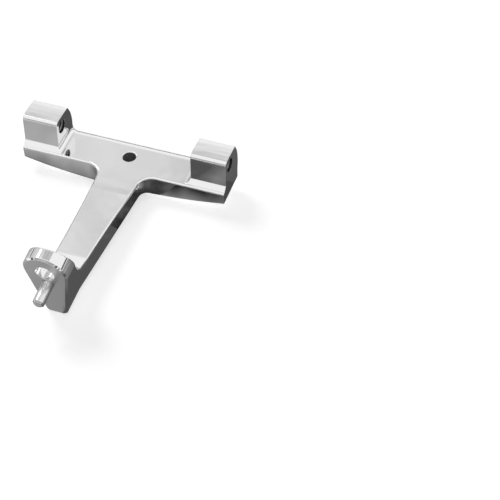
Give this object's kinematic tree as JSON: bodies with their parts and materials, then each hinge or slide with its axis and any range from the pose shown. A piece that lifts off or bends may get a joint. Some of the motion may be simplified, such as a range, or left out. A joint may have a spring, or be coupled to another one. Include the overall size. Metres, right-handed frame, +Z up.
{
  "type": "passenger peg mount",
  "caption": "Cast T-shaped bracket: a crossbar with a tapped lug at each end, and an arm that climbs to a bolt-on foot with a recessed bolt hole and a dowel pin below it.",
  "frame": {"origin": "axis of the hole in the middle of the crossbar, at the plate's top", "axes": "+X along the crossbar, +Y away from the arm, +Z up out of the plate, the way the lugs stand"},
  "size_m": [0.12, 0.1319, 0.0493],
  "materials": {
    "plating": "polished, satin on the machined foot",
    "pin_steel": "ground and hardened"
  },
  "bodies": {
    "root": {"bracket": "plating", "dowel_pin": "pin_steel"}
  },
  "joints": []
}
